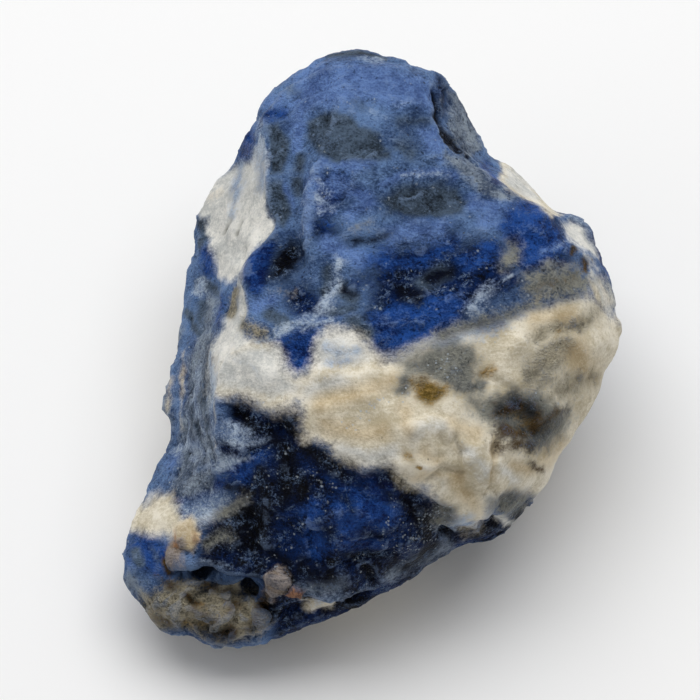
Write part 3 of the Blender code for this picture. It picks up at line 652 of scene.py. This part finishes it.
class StageSettings(bpy.types.PropertyGroup):
    """The floor and the camera."""

    floor_size: FloatProperty(name="Floor size", description="Side of the square floor",
                              default=1.6, min=0.2, unit="LENGTH")
    camera_distance: FloatProperty(name="Camera distance", description="From the stone's middle",
                                   default=1.2, min=0.1, unit="LENGTH")
    floor_colour: colour("Floor", "Colour of the paper under the stone", "F6F6F6")


def view_axes():
    """Right, up and towards the eye in the view."""
    tilt = math.radians(VIEW_ELEVATION)
    right = Vector((1, 0, 0))
    up = Vector((0, math.sin(tilt), math.cos(tilt)))
    eye = Vector((0, -math.cos(tilt), math.sin(tilt)))
    return right, up, eye


def placed(x, y, depth):
    """The place at (x, y) of the view and depth pixels nearer the eye, in metres."""
    right, up, eye = view_axes()
    return (right * (x - SPOT_X) + up * (SPOT_Y - y) + eye * (depth - SPOT_DEPTH)) * PIXEL


def camera_places(distance):
    """Where the camera stands, and what it aims at in the middle of the picture."""
    target = placed(FRAME_PIXELS / 2, FRAME_PIXELS / 2, TARGET_DEPTH)
    return target + view_axes()[2] * distance, target


def streak_frame():
    """A rotation to axes along the streaks, across them and towards the eye."""
    slope = Matrix.Rotation(math.radians(-STREAK_SLOPE), 3, "Z")
    return slope @ Matrix(view_axes())


def smooth_step(values, low, high):
    """0 below low, 1 above high, and a smooth rise between."""
    share = np.clip((values - low) / (high - low), 0, 1)
    return share * share * (3 - 2 * share)


def noise_at(points, size, start, stretch=1.0):
    """Smooth noise between -1 and 1 at each point, its bumps size metres apart."""
    turned = points @ np.array(streak_frame()).T / size
    turned[:, 0] /= stretch
    turned += start * NOISE_APART
    return np.array([noise.noise(place) for place in turned])


def chips_at(points, size, start):
    """Relief of small flat faces, each tilted its own way, about size metres wide."""
    noise.seed_set(TILT_SEED)
    places = points / size + start * CHIPS_APART
    heights = np.empty(len(places))
    for index, place in enumerate(places):
        centre = noise.voronoi(place)[1][0]
        heights[index] = noise.noise_vector(centre * TILTS_APART).dot(Vector(place) - centre)
    return heights * size


def ledges_at(points, size, count, start):
    """Relief of low ledges, 1 high: each rises sharply and falls away slowly."""
    level = noise_at(points, size, start, STREAK_STRETCH) * count
    whole = np.floor(level)
    return whole + smooth_step(level - whole, 0.0, LEDGE_RISE) - level


def gap_to_line(places, start, end):
    """How far each place is from the stretch, and how far along it the nearest point lies."""
    along = np.subtract(end[:2], start[:2])
    length = max(float(along @ along), NOT_ZERO)
    share = np.clip((places - start[:2]) @ along / length, 0, 1)
    nearest = np.asarray(start[:2]) + share[:, None] * along
    return np.linalg.norm(places - nearest, axis=1), share


def depth_in_streak(places, line):
    """How far inside the streak each place lies, in pixels; outside it is negative."""
    stretches = list(zip(line, line[1:])) or [(line[0], line[0])]
    inside = np.full(len(places), -np.inf)
    for start, end in stretches:
        gap, share = gap_to_line(places, start, end)
        inside = np.maximum(inside, start[2] + share * (end[2] - start[2]) - gap)
    return inside


def depth_in_patch(places, outline):
    """How far inside the outline each place lies, in pixels; outside it is negative."""
    gap = np.full(len(places), np.inf)
    within = np.zeros(len(places), bool)
    for start, end in zip(outline, outline[1:] + outline[:1]):
        gap = np.minimum(gap, gap_to_line(places, start, end)[0])
        spans = (start[1] > places[:, 1]) != (end[1] > places[:, 1])
        if start[1] != end[1]:
            slope = (end[0] - start[0]) / (end[1] - start[1])
            within ^= spans & (places[:, 0] < start[0] + slope * (places[:, 1] - start[1]))
    return np.where(within, gap, -gap)


def depth_grown(places, strokes):
    """How deep each place lies in the nearest of these strokes, in softnesses of its edge."""
    field = np.full(len(places), FAR_OUTSIDE)
    for kind, softness, line in strokes:
        corners = np.array([point[:2] for point in line])
        margin = softness * DEEP_INSIDE + max(point[2] if kind == "streak" else 0 for point in line)
        near = np.all((places > corners.min(0) - margin) & (places < corners.max(0) + margin), axis=1)
        measure = depth_in_streak if kind == "streak" else depth_in_patch
        field[near] = np.maximum(field[near], measure(places[near], line) / softness)
    return np.clip(field, FAR_OUTSIDE, DEEP_INSIDE)


def cover_of(depth):
    """How wholly something shows, 0 to 1, where a place lies this deep in it."""
    return smooth_step(depth, -1, 1)


def seen_places(points, distance):
    """Each point's (x, y) in the view."""
    right, up, eye = (np.array(axis) for axis in view_axes())
    offsets = points - np.array(camera_places(distance)[1])
    scale = distance / (distance - offsets @ eye) / PIXEL
    across = FRAME_PIXELS / 2 + offsets @ right * scale
    down = FRAME_PIXELS / 2 - offsets @ up * scale
    return np.stack((across, down), axis=1)


def depths_behind(points, mesh, distance):
    """How far each point lies behind what the camera sees on its line, in pixels."""
    camera = camera_places(distance)[0]
    tree = BVHTree.FromPolygons([vertex.co for vertex in mesh.vertices],
                                [face.vertices for face in mesh.polygons])
    behind = np.zeros(len(points))
    for index, point in enumerate(points):
        line = Vector(point) - camera
        hit = tree.ray_cast(camera, line.normalized())
        if hit[0] is not None:
            behind[index] = max(0.0, line.length - hit[3]) / PIXEL
    return behind


def unrolled(places, behind):
    """The places, with those behind the rim laid out beyond it as if the skin were pulled flat,
    how wholly each is behind, and how far beyond the rim it comes to lie."""
    offsets = places - MIDDLE
    radius = np.maximum(np.linalg.norm(offsets, axis=1), NOT_ZERO)
    turn = (np.arctan2(offsets[:, 1], offsets[:, 0]) / math.tau) % 1 * DIRECTIONS
    rims = np.zeros(DIRECTIONS)
    np.maximum.at(rims, np.minimum(turn.astype(int), DIRECTIONS - 1), radius)
    rim = np.interp(turn - 0.5, np.arange(DIRECTIONS), rims, period=DIRECTIONS)
    beyond = rim + np.hypot(np.maximum(rim - radius, 0), behind)
    weight = smooth_step(behind, BEHIND_FROM, BEHIND_WHOLLY)
    reach = radius + weight * (beyond - radius)
    return MIDDLE + offsets / radius[:, None] * reach[:, None], weight, reach - rim


def warped(places, points, weight):
    """The places, shifted a little this way and that, so that no drawn edge stays straight. What
    is behind is shifted further, because being unrolled has stretched it into bars."""
    shifts = np.zeros_like(places)
    size, reach = WARP_BEHIND
    for axis in (0, 1):
        shifts[:, axis] += noise_at(points, size, axis + WARP_BEHIND_START) * reach * weight
    for turn, (size, reach) in enumerate(WARPS):
        for axis in (0, 1):
            start = turn * 2 + axis + WARP_START
            shifts[:, axis] += noise_at(points, size, start, STREAK_STRETCH) * reach
    return places + shifts


def growths_at(points, places, weight, beyond):
    """How deep each point lies in each mineral. What is drawn fades away beyond the rim, where
    patches of noise take its place."""
    beyond = beyond + noise_at(points, FADE_SIZE, FADE_START) * FADE_UNEVENNESS
    drawn = 1 - smooth_step(beyond, FADE_FROM, FADE_TO) * weight
    depths = {}
    for turn, (name, strokes) in enumerate(GROWTHS.items()):
        depths[name] = FAR_OUTSIDE + (depth_grown(places, strokes) - FAR_OUTSIDE) * drawn
        if name in GROWTHS_BEHIND:
            size, rarity = GROWTHS_BEHIND[name]
            behind = noise_at(points, size, turn + BEHIND_START, STREAK_STRETCH) - rarity
            behind = np.clip(behind * BEHIND_SHARPNESS, FAR_OUTSIDE, DEEP_INSIDE)
            behind = FAR_OUTSIDE + (behind - FAR_OUTSIDE) * weight
            depths[name] = np.maximum(depths[name], behind)
    return depths


def steps_at(places):
    """Relief of the ledges: up on the left of each line, down on its right, dying away from it."""
    height = np.zeros(len(places))
    for rise, line in STEPS:
        nearest = np.full(len(places), np.inf)
        side = np.zeros(len(places))
        for start, end in zip(line, line[1:]):
            gap = gap_to_line(places, start, end)[0]
            along = np.subtract(end, start)
            offset = places - start
            left = (along[1] * offset[:, 0] - along[0] * offset[:, 1]) / np.linalg.norm(along)
            closer = gap < nearest
            nearest = np.where(closer, gap, nearest)
            side = np.where(closer, left, side)
        sharp = np.clip(side / STEP_SOFTNESS, -1, 1)
        height += sharp * np.exp(-nearest / STEP_REACH) * rise
    return height


def relief_at(points, places, in_sight, calm):
    """How far each point moves out along its normal, in metres."""
    height = np.zeros(len(points))
    for turn, (size, count, rise) in enumerate(LEDGES):
        height += ledges_at(points, size, count, turn + LEDGE_START) * rise
    for turn, (size, tilt) in enumerate(CHIPS):
        height += chips_at(points, size, turn + CHIP_START) * tilt
    for turn, (size, rise) in enumerate(GRAINS):
        height += noise_at(points, size, turn + GRAIN_START, STREAK_STRETCH) * rise
    height *= 1 - calm * CALCITE_CALM
    height *= 1 + cover_of(depth_grown(places, RUBBLE)) * (RUBBLE_ROUGHER - 1)
    height += steps_at(places) * in_sight
    for strokes, rise in RELIEF:
        height += cover_of(depth_grown(places, strokes)) * rise
    return height


def read_points(mesh):
    """The mesh's points as rows of x, y and z."""
    points = np.empty(len(mesh.vertices) * 3)
    mesh.vertices.foreach_get("co", points)
    return points.reshape(-1, 3)


def read_normals(mesh):
    """The mesh's normals at its points."""
    normals = np.empty(len(mesh.vertices) * 3)
    mesh.vertex_normals.foreach_get("vector", normals)
    return normals.reshape(-1, 3)


def read_edges(mesh):
    """The points at the two ends of each edge."""
    edges = np.empty(len(mesh.edges) * 2, np.int64)
    mesh.edges.foreach_get("vertices", edges)
    return edges.reshape(-1, 2).T


def write_points(mesh, points):
    """Moves the mesh's points."""
    mesh.vertices.foreach_set("co", points.ravel())
    mesh.update()


def write_values(mesh, name, values):
    """Stores one number at each point."""
    layer = mesh.attributes.new(name, "FLOAT", "POINT")
    layer.data.foreach_set("value", values)


def evenly_meshed(node):
    """A finely and evenly meshed copy of the CAD solid."""
    welded = bmesh.new()
    welded.from_mesh(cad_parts[node].data)
    bmesh.ops.remove_doubles(welded, verts=welded.verts, dist=WELD_GAP)
    mesh = bpy.data.meshes.new("rough")
    welded.to_mesh(mesh)
    welded.free()
    solid = bpy.data.objects.new("rough", mesh)
    bpy.context.scene.collection.objects.link(solid)
    remesh = solid.modifiers.new("Even mesh", "REMESH")
    remesh.mode = "VOXEL"
    remesh.voxel_size = MESH_STEP
    remesh.adaptivity = 0.0
    fine = bpy.data.meshes.new_from_object(
        solid.evaluated_get(bpy.context.evaluated_depsgraph_get()))
    bpy.data.objects.remove(solid)
    bpy.data.meshes.remove(mesh)
    return fine


def mean_of_neighbours(points, start, end):
    """Where the middle of each point's neighbours lies."""
    count = np.bincount(start, minlength=len(points)) + np.bincount(end, minlength=len(points))
    total = np.stack([np.bincount(start, points[end, axis], len(points))
                      + np.bincount(end, points[start, axis], len(points))
                      for axis in range(3)], axis=1)
    return total / count[:, None]


def even_out(mesh):
    """Takes the CAD's small facets out without shrinking the stone."""
    points = read_points(mesh)
    start, end = read_edges(mesh)
    for turn in range(EVENING_PASSES):
        for pull in EVENING_PULLS:
            points += (mean_of_neighbours(points, start, end) - points) * pull
    write_points(mesh, points)


def crests_of(mesh):
    """How far each point stands out from the ground round it, 1 on an edge and -1 in a groove."""
    points = read_points(mesh)
    start, end = read_edges(mesh)
    ground = points
    for turn in range(CREST_PASSES):
        ground = (ground + mean_of_neighbours(ground, start, end)) / 2
    return ((points - ground) * read_normals(mesh)).sum(axis=1) / CREST_HEIGHT


def add_node(tree, name, kind, inputs, settings=None):
    """Adds a node under a name and gives the name back. An input that is text is linked to the
    node of that name: to the output named after a dot, or to the first output in use."""
    node = tree.nodes.new("ShaderNode" + kind)
    node.name = name
    for setting, value in (settings or {}).items():
        setattr(node, setting, value)
    for socket, value in inputs.items():
        if isinstance(value, str):
            source, dot, output = value.partition(".")
            outputs = tree.nodes[source].outputs
            chosen = outputs[output] if dot else next(each for each in outputs if each.enabled)
            tree.links.new(chosen, node.inputs[socket])
        else:
            node.inputs[socket].default_value = value
    return name


def add_sum(tree, name, parts):
    """Adds up signals, each times its share."""
    total = 0.0
    for place, (signal, share) in enumerate(parts.items()):
        own_name = name if place == len(parts) - 1 else f"{name} {place}"
        total = add_node(tree, own_name, "Math", {0: signal, 1: share, 2: total},
                         {"operation": "MULTIPLY_ADD"})


def empty_material(name):
    """A material and its empty node tree."""
    material = bpy.data.materials.new(name)
    material.use_nodes = True
    material.node_tree.nodes.clear()
    return material, material.node_tree


def rgba(colour_value):
    """A colour with full cover."""
    return (*colour_value, 1.0)


def add_unevenness(tree):
    """Signals from -1 to 1 that vary over the stone, and their sums that tear the minerals' edges
    and mix their colours."""
    add_node(tree, "place", "TexCoord", {})
    add_node(tree, "along streaks", "Mapping",
             {"Vector": "place.Object", "Rotation": tuple(streak_frame().to_euler()),
              "Scale": (1 / STREAK_LENGTH, 1 / STREAK_WIDTH, 1 / STREAK_WIDTH)})
    signals = {
        "grain": ("place.Object", 1 / GRAIN_SIZE, 2.0),
        "mottle": ("place.Object", 1 / MOTTLE_SIZE, 4.0),
        "clusters": ("place.Object", 1 / CLUSTER_SIZE, 2.0),
        "clouds": ("place.Object", 1 / CLOUD_SIZE, 3.0),
        "streaks": ("along streaks", 1.0, 3.0),
    }
    for name, (vector, scale, detail) in signals.items():
        add_node(tree, name + " noise", "TexNoise",
                 {"Vector": vector, "Scale": scale, "Detail": detail, "Roughness": 0.68})
        add_node(tree, name, "MapRange",
                 {"Value": name + " noise", "From Min": NOISE_LOW, "From Max": NOISE_HIGH,
                  "To Min": -1.0, "To Max": 1.0}, {"clamp": False})
    add_sum(tree, "lumpy edge", {"grain": 0.24, "mottle": 0.52})
    add_sum(tree, "streaky edge", {"grain": 0.20, "mottle": 0.42, "streaks": 0.12})
    add_sum(tree, "lumpy sum", {"grain": 0.42, "mottle": 0.44, "clouds": 0.62})
    add_sum(tree, "streaky sum", {"grain": 0.36, "mottle": 0.38, "streaks": 0.24, "clouds": 0.62})
    for kind in ("lumpy", "streaky"):
        add_node(tree, kind + " tone", "MapRange",
                 {"Value": kind + " sum", "From Min": -1.0, "From Max": 1.0}, SMOOTH)


def add_minerals(tree, colours):
    """Lays the minerals over one another. Gives the colour that shows and its finish."""
    for name, mineral in MINERALS.items():
        own = add_node(tree, name + " colour", "Mix",
                       {0: mineral.kind + " tone", 6: rgba(getattr(colours, name + "_dark")),
                        7: rgba(getattr(colours, name + "_pale"))}, COLOURS)
        if name == "body":
            shown = own
            finish = {part: getattr(mineral, part) for part in FINISHES}
            continue
        add_node(tree, name, "Attribute", {}, {"attribute_name": name})
        add_node(tree, name + " depth", "Math",
                 {0: mineral.kind + " edge", 1: mineral.raggedness, 2: name + ".Fac"},
                 {"operation": "MULTIPLY_ADD"})
        cover = add_node(tree, name + " cover", "MapRange",
                         {"Value": name + " depth", "From Min": -1.0, "From Max": 1.0}, SMOOTH)
        shown = add_node(tree, name + " shown", "Mix", {0: cover, 6: shown, 7: own}, COLOURS)
        for part in FINISHES:
            finish[part] = add_node(tree, f"{name} {part}", "Mix",
                                    {0: cover, 2: finish[part], 3: getattr(mineral, part)})
    return shown, finish


def add_haze(tree, colours, shown, dust):
    """Milky clouds in the dark blue."""
    add_sum(tree, "haze sum", {"clusters": 0.55, "mottle": 0.45, "grain": 0.45})
    add_node(tree, "haze", "MapRange", {"Value": "haze sum", "From Min": 0.2, "From Max": 1.6,
                                        "To Max": 0.45}, SMOOTH)
    add_node(tree, "haze cover", "Math", {0: "haze", 1: dust}, TIMES)
    return add_node(tree, "hazed", "Mix", {0: "haze cover", 6: shown, 7: rgba(colours.haze)}, COLOURS)


def add_wisps(tree, colours, shown, dust):
    """White wisps: short crooked hairs where noise crosses its middle, gathered in clusters."""
    add_node(tree, "wisp noise", "TexNoise", {"Vector": "place.Object", "Scale": 1 / WISP_SIZE,
                                              "Detail": 3.0, "Roughness": 0.7, "Distortion": 0.8})
    add_node(tree, "wisp gap", "Math", {0: "wisp noise", 1: 0.5, 2: 0.04}, {"operation": "COMPARE"})
    add_sum(tree, "wisp sum", {"clusters": 0.8, "grain": 0.5})
    add_node(tree, "wisp clusters", "MapRange", {"Value": "wisp sum", "From Min": 0.0,
                                                 "From Max": 1.0, "To Max": 0.9}, SMOOTH)
    add_node(tree, "wisps", "Math", {0: "wisp gap", 1: "wisp clusters"}, TIMES)
    add_node(tree, "wisp cover", "Math", {0: "wisps", 1: dust}, TIMES)
    return add_node(tree, "wisped", "Mix", {0: "wisp cover", 6: shown, 7: rgba(colours.wisp)}, COLOURS)


def add_grains_and_glints(tree, colours, shown, dust):
    """Pale grains, partly real pale grains and partly painted glints, each with its own chance to show, and
    dark grains with the other chance.
    """
    add_node(tree, "sugar", "Attribute", {}, {"attribute_name": "sugar"})
    add_node(tree, "cells", "TexVoronoi", {"Vector": "place.Object", "Scale": 1 / SUGAR_SIZE})
    add_node(tree, "chances", "SeparateColor", {"Color": "cells.Color"})
    add_sum(tree, "spot sum", {"cells.Distance": 1.0, "grain": 0.24, "mottle": 0.24})
    add_node(tree, "spot", "MapRange", {"Value": "spot sum", "From Min": 0.15, "From Max": 0.6,
                                        "To Min": 1.0, "To Max": 0.0}, SMOOTH)
    add_node(tree, "sugar share", "MapRange", {"Value": "sugar.Fac", "From Min": -1.0,
                                               "From Max": 1.0, "To Max": 0.22}, SMOOTH)
    grains = {
        # Where flecks lie thickly, pale grains are strewn that stand partly for painted glints
        "pale": ({"chances.Red": 0.985, "sugar share": 1.0, dust: 0.045, "clusters": 0.03},
                 colours.sugar),
        "dark": ({"chances.Green": 0.985, dust: 0.12, "clusters": -0.03}, colours.black_dark),
    }
    for name, (shares, own) in grains.items():
        add_sum(tree, name + " chance", shares)
        add_node(tree, name + " picked", "MapRange",
                 {"Value": name + " chance", "From Min": 0.97, "From Max": 1.03, "To Max": 0.6}, SMOOTH)
        add_node(tree, name + " grains", "Math", {0: name + " picked", 1: "spot"}, TIMES)
        shown = add_node(tree, name + " strewn", "Mix",
                         {0: name + " grains", 6: shown, 7: rgba(own)}, COLOURS)
    return shown


def add_wear_and_painted_light(tree, colours, shown, wear):
    """Edges whitened partly by bruising and partly as painted highlights, and painted shade in the hollows.
    """
    add_node(tree, "crest", "Attribute", {}, {"attribute_name": "crest"})
    add_sum(tree, "crest sum", {"crest.Fac": 1.0, "grain": 0.35, "mottle": 0.35})
    add_node(tree, "edge", "MapRange", {"Value": "crest sum", "From Min": 0.3, "From Max": 2.0,
                                        "To Max": 0.55}, SMOOTH)
    # Painted shade: the deeper the hollow, the darker its colour is made
    add_node(tree, "hollow", "MapRange", {"Value": "crest sum", "From Min": -2.2,
                                          "From Max": -0.3, "To Min": 1.0, "To Max": 0.0}, SMOOTH)
    for name in ("edge", "hollow"):
        add_node(tree, name + " cover", "Math", {0: name, 1: wear}, TIMES)
    # Painted highlights: the crests are whitened partly as bruising and partly as highlights
    shown = add_node(tree, "worn edges", "Mix",
                     {0: "edge cover", 6: shown, 7: rgba(colours.worn_edge)}, COLOURS)
    return add_node(tree, "dirty hollows", "Mix", {0: "hollow cover", 6: shown, 7: rgba(HOLLOW_SHADE)},
                    {"data_type": "RGBA", "blend_type": "MULTIPLY"})


def stone_finish(colours):
    """Sodalite with calcite, broken by the hammer and rubbed: a greasy, slightly clear stone whose
    break is rough with tiny grains, so it shines only in specks, some of them painted glints
    among the pale grains."""
    material, tree = empty_material("Sodalite with calcite, hammer-broken")
    add_unevenness(tree)
    shown, finish = add_minerals(tree, colours)
    for add_cover in (add_haze, add_wisps, add_grains_and_glints):
        shown = add_cover(tree, colours, shown, finish["dust"])
    shown = add_wear_and_painted_light(tree, colours, shown, finish["wear"])
    add_sum(tree, "height", {"grain": 0.60, "mottle": 0.40, "streaks": 0.24})
    add_node(tree, "bump", "Bump", {"Strength": finish["coarseness"], "Distance": BUMP_DEPTH,
                                    "Height": "height"})
    add_node(tree, "stone", "BsdfPrincipled",
             {"Base Color": shown, "Roughness": finish["roughness"], "IOR": 1.483,
              "Specular IOR Level": 0.08, "Subsurface Weight": 0.25,
              "Subsurface Radius": (1.0, 0.95, 0.95), "Subsurface Scale": 0.0007,
              "Normal": "bump"})
    add_node(tree, "output", "OutputMaterial", {"Surface": "stone"})
    return material


def paper_finish(floor_colour):
    """Background paper, uncoated and pressed smooth, so it is matt and casts no glare."""
    material, tree = empty_material("Background paper, matt pressed")
    add_node(tree, "place", "TexCoord", {})
    add_node(tree, "tufts", "TexNoise",
             {"Vector": "place.Object", "Scale": TUFTS, "Detail": 3.0})
    add_node(tree, "bump", "Bump", {"Strength": 0.1, "Distance": TUFT_DEPTH, "Height": "tufts"})
    add_node(tree, "paper", "BsdfPrincipled",
             {"Base Color": rgba(floor_colour), "Roughness": 0.9, "Specular IOR Level": 0.2,
              "Normal": "bump"})
    add_node(tree, "output", "OutputMaterial", {"Surface": "paper"})
    return material


class STONE_OT_make(bpy.types.Operator):
    """Meshes the stone finely, gives it its broken surface and lets its minerals grow"""

    bl_idname = "stone.make"
    bl_label = "Rough stone"

    def execute(self, context):
        distance = context.scene.stone_stage.camera_distance
        mesh = evenly_meshed(NODE)
        even_out(mesh)
        points = read_points(mesh)
        behind = depths_behind(points, mesh, distance)
        places, weight, beyond = unrolled(seen_places(points, distance), behind)
        places = warped(places, points, weight)
        growths = growths_at(points, places, weight, beyond)
        calm = cover_of(np.maximum.reduce([growths[name] for name in CALCITE]))
        clear = smooth_step(points[:, 2], FLAT_SPOT_HEIGHT, CLEAR_OF_FLOOR)
        height = relief_at(points, places, 1 - weight, calm) * clear
        points += read_normals(mesh) * height[:, None]
        points[:, 2] = np.maximum(points[:, 2], 0.0)
        write_points(mesh, points)
        for name, depth in growths.items():
            write_values(mesh, name, depth)
        # The crests carry the whitened edges with their painted highlights, and the hollows carry the
        # painted shade
        write_values(mesh, "crest", crests_of(mesh))
        mesh.materials.clear()
        mesh.materials.append(stone_finish(context.scene.stone_colours))
        mesh.shade_smooth()
        stone = bpy.data.objects.new("sodalite_lump", mesh)
        context.scene.collection.objects.link(stone)
        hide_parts(NODE)
        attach(stone, "root")
        return {"FINISHED"}


class STONE_OT_stage(bpy.types.Operator):
    """Lays the floor, hangs the lights and sets up the camera"""

    bl_idname = "stone.stage"
    bl_label = "Stage"

    def execute(self, context):
        settings = context.scene.stone_stage
        lay_floor(settings)
        for name, (place, size, power) in LIGHTS.items():
            hang_light(name, place, size, power)
        light_sky()
        set_camera(settings.camera_distance)
        return {"FINISHED"}


def lay_floor(settings):
    """A plain square floor."""
    half = settings.floor_size / 2
    corners = [(-half, -half, 0), (half, -half, 0), (half, half, 0), (-half, half, 0)]
    mesh = bpy.data.meshes.new("floor")
    mesh.from_pydata(corners, [], [(0, 1, 2, 3)])
    mesh.materials.append(paper_finish(settings.floor_colour))
    floor = bpy.data.objects.new("floor", mesh)
    bpy.context.scene.collection.objects.link(floor)


def hang_light(name, place, size, power):
    """A soft rectangular light that faces the stone."""
    lamp = bpy.data.lights.new(name, "AREA")
    lamp.shape = "RECTANGLE"
    lamp.size, lamp.size_y = size
    lamp.energy = power
    light = bpy.data.objects.new(name, lamp)
    light.location = place
    light.rotation_euler = (-Vector(place)).to_track_quat("-Z", "Y").to_euler()
    bpy.context.scene.collection.objects.link(light)


def light_sky():
    """An even white sky, and colours shown as they are."""
    world = bpy.data.worlds.new("White room")
    world.use_nodes = True
    sky = world.node_tree.nodes["Background"]
    sky.inputs["Color"].default_value = rgba(linear("FFFFFF"))
    sky.inputs["Strength"].default_value = SKY_STRENGTH
    bpy.context.scene.world = world
    bpy.context.scene.view_settings.view_transform = "Standard"


def set_camera(distance):
    """The camera looks down on the stone at the photograph's angle."""
    lens = bpy.data.cameras.new("Camera")
    lens.sensor_width = SENSOR
    lens.lens = SENSOR * distance / (FRAME_PIXELS * PIXEL)
    lens.clip_start = distance / 10
    lens.clip_end = distance * 10
    camera = bpy.data.objects.new("Camera", lens)
    place = camera_places(distance)[0]
    turn = Matrix(view_axes()).transposed()
    camera.matrix_world = Matrix.Translation(place) @ turn.to_4x4()
    bpy.context.scene.collection.objects.link(camera)
    bpy.context.scene.camera = camera


class STONE_PT_panel(bpy.types.Panel):
    """Lists what the stone is made with"""

    bl_label = "Rough stone"
    bl_idname = "STONE_PT_panel"
    bl_space_type = "VIEW_3D"
    bl_region_type = "UI"
    bl_category = "Stone"

    def draw(self, context):
        for operator in OPERATORS:
            self.layout.operator(operator.bl_idname)
        for settings in (context.scene.stone_stage, context.scene.stone_colours):
            for name in settings.__annotations__:
                self.layout.prop(settings, name)


OPERATORS = (STONE_OT_make, STONE_OT_stage)
CLASSES = (StoneColours, StageSettings, *OPERATORS, STONE_PT_panel)


def register():
    """Adds the classes and their settings to Blender."""
    for item in CLASSES:
        bpy.utils.register_class(item)
    bpy.types.Scene.stone_colours = PointerProperty(type=StoneColours)
    bpy.types.Scene.stone_stage = PointerProperty(type=StageSettings)


def unregister():
    """Takes them away again."""
    del bpy.types.Scene.stone_stage
    del bpy.types.Scene.stone_colours
    for item in reversed(CLASSES):
        bpy.utils.unregister_class(item)


def main():
    """Makes the stone and its stage."""
    register()
    bpy.ops.stone.make()
    bpy.ops.stone.stage()


if __name__ == "__main__":
    main()
